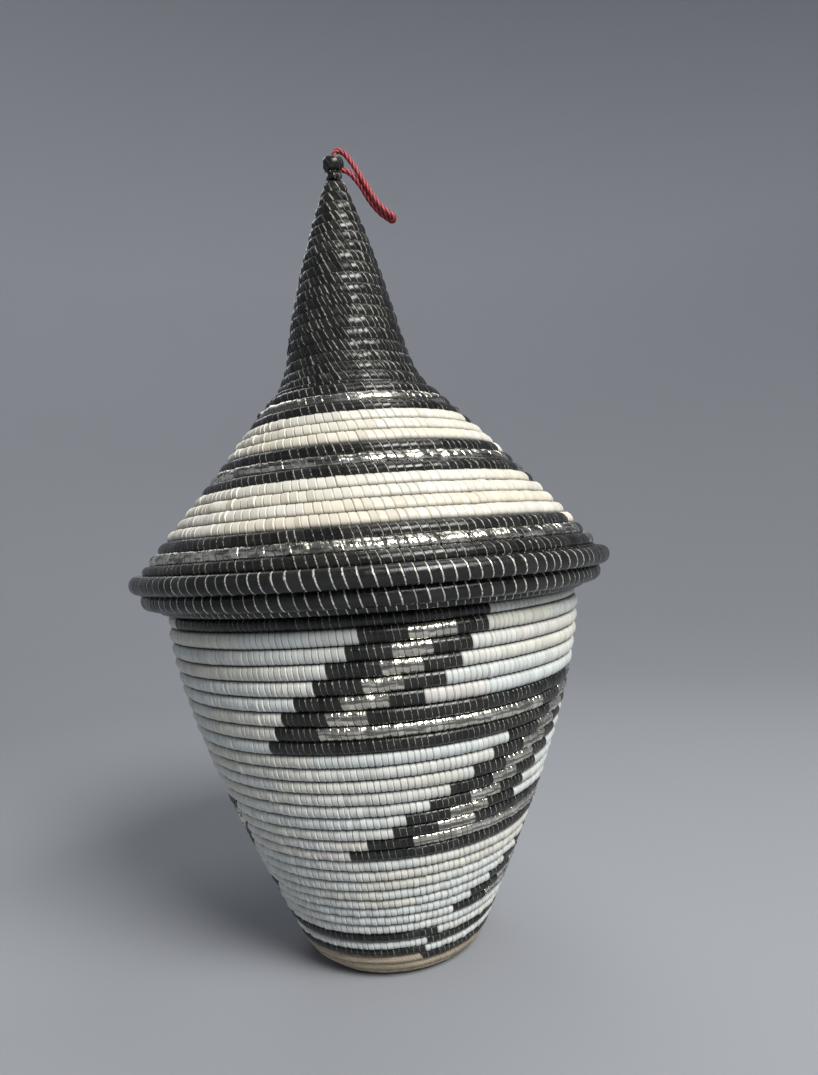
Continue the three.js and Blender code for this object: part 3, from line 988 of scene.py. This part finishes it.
class BASKET_OT_wall(bpy.types.Operator):
    """Wind the basket's floor and wall, and bind them in white, black and silver rows"""

    bl_idname = "basket.wall"
    bl_label = "Basket Wall"

    def execute(self, context):
        sizes = context.scene.basket_sizes
        random = chance(1)
        winding = Winding(
            basket_line(), HEEL_PITCH, MOUTH_PITCH, COIL_END, FOOT_RADIUS, WALL_WANDER,
        )
        uneven = random.uniform(-UNEVEN_WIDTH, UNEVEN_WIDTH, UNEVEN_STEPS)
        # The coil's thin end curls once round the middle of the floor.
        second_turn = -(FOOT_RADIUS - CURL_RADIUS) / HEEL_PITCH
        curl = np.linspace(winding.first_turn - CURL_TURN, second_turn, CURL_STEPS)[:-1]
        width = sizes.wall_strip / MM
        turns = [*curl, *wrap_turns(second_turn, winding.turns, winding.radius, width, random)]
        groups = {}
        strips = StripTints(random)
        for first, last in zip(turns, turns[1:]):
            middle = (first + last) / 2
            kind, row = basket_colour(winding, middle, winding.radius(middle), uneven)
            band = next(name for lowest, name in WALL_BANDS if row <= lowest)
            if kind == "fibre":
                band = "base"
            tint = strips.next(kind, CREAM_TINT if row == CREAM_ROW else None)
            groups.setdefault((kind, band), Wraps()).add(first, last, tint)
        place = row_placer(winding, sizes.coil / MM)
        for (kind, band), wraps in sorted(groups.items()):
            name, node = f"wall_{kind}_rows_{band}", "basket_wall"
            if kind == "fibre":
                name, node = "base_fibre_rows", "base_start_coils"
            piece = wrapped_piece(
                name, wraps, place, WALL_STYLES[kind], sizes.coil / MM / 2, sizes.sides, random,
                strip_materials(WALL_FINISHES.get(kind, kind)),
            )
            tie_to_frame(piece, "basket", node)
        return {"FINISHED"}


class BASKET_OT_collar(bpy.types.Operator):
    """Wind the bare coils of the collar inside the lid"""

    bl_idname = "basket.collar"
    bl_label = "Lid Collar"

    def execute(self, context):
        sizes = context.scene.basket_sizes
        random = chance(2)
        low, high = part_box("lid_collar")
        foot = (COLLAR_RADIUS, low.z / MM + COLLAR_INSET)
        top = (COLLAR_RADIUS, high.z / MM - COLLAR_INSET)
        winding = Winding(CentreLine(curve_points([foot, top], 20)), COLLAR_PITCH, COLLAR_PITCH)
        inside = steady(COLLAR_INSIDE)
        turns = wrap_turns(-1.0, winding.turns, inside, COLLAR_STRIP, random)
        piece = wrapped_piece(
            "collar_fibre_rows", plain_wraps(turns), row_placer(winding, COLLAR_COIL),
            WALL_STYLES["fibre"], COLLAR_COIL / 2, sizes.sides, random, strip_materials("fibre"),
        )
        tie_to_frame(piece, "lid", "lid_collar")
        return {"FINISHED"}


class BASKET_OT_rim(bpy.types.Operator):
    """Wind the three black coils along the lid's edge"""

    bl_idname = "basket.rim"
    bl_label = "Lid Rim"

    def execute(self, context):
        sizes = context.scene.basket_sizes
        random = chance(3)
        for name, ring, share in RIM_COILS:
            width = sizes.rim_strip / MM * share
            start = random.random()
            turns = wrap_turns(start, start + 1.0, steady(ring[0]), width, random)
            piece = wrapped_piece(
                name, plain_wraps(turns), ring_placer(ring, MOUTH_HEIGHT), RIM_STYLE, ring[2],
                sizes.sides + 4, random, strip_materials("rim"),
            )
            tie_to_frame(piece, "lid", f"lid_{name}")
        return {"FINISHED"}


class BASKET_OT_cone(bpy.types.Operator):
    """Wind the lid's cone in ivory, black and silver rings"""

    bl_idname = "basket.cone"
    bl_label = "Lid Cone"

    def execute(self, context):
        sizes = context.scene.basket_sizes
        random = chance(4)
        winding = Winding(cone_line(), CONE_PITCH, CONE_PITCH, wander=CONE_WANDER)
        width = sizes.cone_strip / MM
        turns = wrap_turns(-1.0, winding.turns, winding.radius, width, random)
        groups = {}
        strips = StripTints(random)
        for first, last in zip(turns, turns[1:]):
            kind = cone_colour((first + last) / 2)
            groups.setdefault(kind, Wraps()).add(first, last, strips.next(kind))
        place = row_placer(winding, sizes.coil / MM, MOUTH_HEIGHT, True)
        for kind, wraps in sorted(groups.items()):
            piece = wrapped_piece(
                f"cone_{kind}_rings", wraps, place, CONE_STYLES[kind], sizes.coil / MM / 2,
                sizes.sides, random, strip_materials(CONE_FINISHES.get(kind, kind)),
            )
            tie_to_frame(piece, "lid", "lid_cone")
        return {"FINISHED"}


class BASKET_OT_spire(bpy.types.Operator):
    """Wind the black spire and the small coil at its tip"""

    bl_idname = "basket.spire"
    bl_label = "Spire and Tip"

    def execute(self, context):
        sizes = context.scene.basket_sizes
        random = chance(5)
        winding = Winding(spire_line(), SPIRE_PITCH, SPIRE_PITCH, wander=SPIRE_WANDER)
        width = sizes.spire_strip / MM
        turns = wrap_turns(-1.0, winding.turns, winding.radius, width, random, SPIRE_SPREAD)
        piece = wrapped_piece(
            "spire_rows", plain_wraps(turns),
            row_placer(winding, sizes.spire_coil / MM, MOUTH_HEIGHT, True, SPIRE_PRESS),
            SPIRE_STYLE, sizes.spire_coil / MM / 2, sizes.sides, random, strip_materials("dull"),
        )
        tie_to_frame(piece, "lid", "lid_spire")
        neck = [(radius, TIP_TOP - MOUTH_HEIGHT + level) for radius, level in TIP_NECK]
        winding = Winding(CentreLine(curve_points(neck, 20)), TIP_NECK_PITCH, TIP_NECK_PITCH)
        turns = wrap_turns(-1.0, winding.turns, steady(TIP_NECK_OUTSIDE), TIP_NECK_STRIP, random)
        piece = wrapped_piece(
            "tip_neck_rows", plain_wraps(turns),
            row_placer(winding, TIP_NECK_COIL, MOUTH_HEIGHT, True),
            SPIRE_STYLE, TIP_NECK_COIL / 2, sizes.sides, random, strip_materials("dull"),
        )
        tie_to_frame(piece, "lid", "lid_tip_coil")
        radius, wide, tall = TIP_BEAD
        turns = wrap_turns(BEAD_SEAM, BEAD_SEAM + 1.0, steady(radius), BEAD_STRIP, random)
        piece = wrapped_piece(
            "tip_bead", plain_wraps(turns),
            ring_placer((radius, TIP_TOP - tall, wide, tall), 0.0, -LEAN),
            TIP_STYLE, tall, sizes.sides, random, strip_materials("dull"),
        )
        tie_to_frame(piece, "lid", "lid_tip_coil")
        return {"FINISHED"}


def between(t, low, high, first, last):
    """What lies at t, between what lies at low and at high."""
    return (high - t) / (high - low) * first + (t - low) / (high - low) * last


def rounded_route(points, per_span):
    """A centripetal Catmull-Rom curve through the points."""
    points = np.array(points, float)
    ends = np.vstack([2 * points[0] - points[1], points, 2 * points[-1] - points[-2]])
    out = []
    for i in range(1, len(ends) - 2):
        p = ends[i - 1 : i + 3]
        spans = np.linalg.norm(np.diff(p, axis=0), axis=1) ** 0.5
        knots = np.concatenate([[0.0], np.cumsum(spans)])
        for t in np.linspace(knots[1], knots[2], per_span, endpoint=False):
            a = [between(t, knots[j], knots[j + 1], p[j], p[j + 1]) for j in range(3)]
            b = [between(t, knots[j], knots[j + 2], a[j], a[j + 1]) for j in range(2)]
            out.append(between(t, knots[1], knots[2], b[0], b[1]))
    out.append(points[-1])
    return np.array(out)


def carried_sides(route):
    """The direction at each point of a route, and a side carried along it without twist."""
    runs = np.gradient(route, axis=0)
    runs /= np.linalg.norm(runs, axis=1)[:, None]
    side = np.array([0.0, 1.0, 0.0])
    sides = []
    for run in runs:
        side = side - run * side.dot(run)
        side = side / np.linalg.norm(side)
        sides.append(side)
    return runs, np.array(sides)


def read_along(x, lengths, values):
    """The values at these lengths along the cord."""
    return np.column_stack([np.interp(x, lengths, values[:, i]) for i in range(3)])


class BASKET_OT_loop(bpy.types.Operator):
    """Tie the doubled red cord through the tip"""

    bl_idname = "basket.loop"
    bl_label = "Hanging Loop"

    def execute(self, context):
        sizes = context.scene.basket_sizes
        colours = context.scene.basket_colours
        half = sizes.cord / MM / 2
        route = rounded_route([(x - LEAN, y, z + TIP_TOP) for x, y, z in LOOP_ROUTE], 10)
        steps = np.linalg.norm(np.diff(route, axis=0), axis=1)
        lengths = np.concatenate([[0.0], np.cumsum(steps)])
        total = lengths[-1]
        rings = int(total / CORD_STEP)
        body = [(k * total / rings, 1.0, 0.0) for k in range(rings + 1)]
        line = [(0.0, 0.0, 0.0), *body, (total, 0.0, 0.0)]
        mesh = spun_mesh("hanging_cord", [line], (1, 0, 0), CORD_SIDES, MERGE)
        straight = read_vectors(mesh.vertices, "co")
        x = np.clip(straight[:, 0], 0.0, total)
        runs, sides = carried_sides(route)
        centre = read_along(x, lengths, route)
        run = read_along(x, lengths, runs)
        run /= np.linalg.norm(run, axis=1)[:, None]
        side = read_along(x, lengths, sides)
        side -= run * np.sum(run * side, axis=1)[:, None]
        side /= np.linalg.norm(side, axis=1)[:, None]
        lift = np.cross(run, side)
        around = np.arctan2(straight[:, 2], straight[:, 1])
        mark = np.hypot(straight[:, 1], straight[:, 2])
        plies = np.abs(np.cos(CORD_PLIES / 2 * (around - FULL_TURN * x / CORD_LAY)))
        radius = half * (CORD_CORE + PLY_HEIGHT * plies ** PLY_ROUNDNESS) * mark
        points = centre + (radius * np.cos(around))[:, None] * side
        points += (radius * np.sin(around))[:, None] * lift
        mesh.vertices.foreach_set("co", (points * MM).astype(np.float32).ravel())
        add_layer(mesh, "laid", np.column_stack([x, straight[:, 1:] * half]))
        add_layer(mesh, "ply", plies)
        mesh.materials.append(made_material("twisted_red", twisted_cord, colours.cord))
        mesh.update()
        piece = in_scene("hanging_cord", mesh)
        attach(piece, "lid")
        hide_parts("hanging_loop")
        return {"FINISHED"}


# ---------------------------------------------------------------- the stage

# The camera looks level from this place in millimetres, rolled by this angle. The point
# straight ahead of it is drawn this many of the photo's pixels below the picture's middle.
CAMERA_PLACE = (18.97, -387.4, 193.2)
CAMERA_ROLL = math.radians(3.88)
LENS = 26.12
PHOTO_HEIGHT = 1075.0
PRINCIPAL_DROP = 4.36
# The studio's flat floor, the bend up to its wall and the wall's height, in metres
BOWL_FLOOR = 0.7
BOWL_BEND = 1.0
BOWL_HEIGHT = 2.8
BOWL_SIDES = 96
# Each lamp's name, place, size, power and tone. All are turned to LAMP_TARGET.
LAMPS = (
    ("key", (0.70, -1.01, 1.24), 0.70, 17.1, (1.0, 0.985, 0.96)),
    ("fill", (-0.95, -0.55, 0.9), 0.6, 0.08, (0.92, 0.95, 1.0)),
    ("back", (-0.39, 1.17, 1.16), 0.78, 1.66, (1.0, 1.0, 1.0)),
    ("top", (0.3, 0.3, 1.6), 0.8, 2.2, (1.0, 1.0, 1.0)),
)
LAMP_TARGET = (0.0, 0.0, 0.2)
# Narrower than a half turn, so that a lamp's light fades out on the studio wall beside it.
LAMP_SPREAD = math.radians(130)
ROOM_TONE = (0.70, 0.73, 0.78, 1)
ROOM_STRENGTH = 0.17


def area_lamp(name, place, size, power, tone):
    """A square lamp that lights the object and isn't seen itself."""
    data = bpy.data.lights.new(name, "AREA")
    data.size = size
    data.spread = LAMP_SPREAD
    data.energy = power
    data.color = tone
    lamp = in_scene(name, data)
    lamp.location = place
    direction = Vector(LAMP_TARGET) - Vector(place)
    lamp.rotation_euler = direction.to_track_quat("-Z", "Y").to_euler()
    lamp.visible_camera = False


class BASKET_OT_stage(bpy.types.Operator):
    """Set up the camera, the round studio floor and the lamps"""

    bl_idname = "basket.stage"
    bl_label = "Studio Stage"

    def execute(self, context):
        scene = context.scene
        camera_data = bpy.data.cameras.new("camera")
        camera_data.lens = LENS
        camera_data.sensor_width = 36.0
        camera_data.shift_y = PRINCIPAL_DROP / PHOTO_HEIGHT
        camera_data.clip_start = 0.01
        camera = in_scene("camera", camera_data)
        camera.location = [value * MM for value in CAMERA_PLACE]
        camera.rotation_euler = (math.pi / 2, CAMERA_ROLL, 0.0)
        scene.camera = camera

        bend = [
            (BOWL_FLOOR + BOWL_BEND * math.sin(a), 0.0, BOWL_BEND * (1 - math.cos(a)))
            for a in np.linspace(0, math.pi / 2, 24)
        ]
        wall_top = (BOWL_FLOOR + BOWL_BEND, 0.0, BOWL_HEIGHT)
        line = [(0.0, 0.0, 0.0), (BOWL_FLOOR / 2, 0.0, 0.0), *bend, wall_top]
        mesh = spun_mesh("studio_floor", [line], (0, 0, 1), BOWL_SIDES, 0.0001, hollow=True)
        cloth = made_material("studio_cloth", studio_cloth, scene.basket_colours.floor)
        mesh.materials.append(cloth)
        floor = in_scene("studio_floor", mesh)

        for lamp in LAMPS:
            area_lamp(*lamp)
        world = bpy.data.worlds.new("studio")
        world.use_nodes = True
        background = world.node_tree.nodes["Background"]
        background.inputs["Color"].default_value = ROOM_TONE
        background.inputs["Strength"].default_value = ROOM_STRENGTH
        scene.world = world
        scene.view_settings.view_transform = "Standard"
        return {"FINISHED"}


class BASKET_PT_panel(bpy.types.Panel):
    """Sizes, colours and the steps that make the basket"""

    bl_idname = "BASKET_PT_panel"
    bl_label = "Coiled Basket"
    bl_space_type = "VIEW_3D"
    bl_region_type = "UI"
    bl_category = "Basket"

    def draw(self, context):
        sizes = self.layout.box()
        sizes.label(text="Sizes")
        for name in BasketSizes.__annotations__:
            sizes.prop(context.scene.basket_sizes, name)
        colours = self.layout.box()
        colours.label(text="Colours")
        for name in BasketColours.__annotations__:
            colours.prop(context.scene.basket_colours, name)
        steps = self.layout.box()
        steps.label(text="Make")
        for operator in OPERATORS:
            steps.operator(operator.bl_idname)


OPERATORS = (
    BASKET_OT_stage,
    BASKET_OT_loop,
    BASKET_OT_wall,
    BASKET_OT_collar,
    BASKET_OT_rim,
    BASKET_OT_cone,
    BASKET_OT_spire,
)
CLASSES = (BasketSizes, BasketColours, *OPERATORS, BASKET_PT_panel)


def register():
    for cls in CLASSES:
        bpy.utils.register_class(cls)
    bpy.types.Scene.basket_sizes = PointerProperty(type=BasketSizes)
    bpy.types.Scene.basket_colours = PointerProperty(type=BasketColours)


def unregister():
    del bpy.types.Scene.basket_colours
    del bpy.types.Scene.basket_sizes
    for cls in reversed(CLASSES):
        bpy.utils.unregister_class(cls)


def main():
    register()
    bpy.ops.basket.stage()
    bpy.ops.basket.loop()
    bpy.ops.basket.wall()
    bpy.ops.basket.collar()
    bpy.ops.basket.rim()
    bpy.ops.basket.cone()
    bpy.ops.basket.spire()
    bpy.context.view_layer.update()


if __name__ == "__main__":
    main()
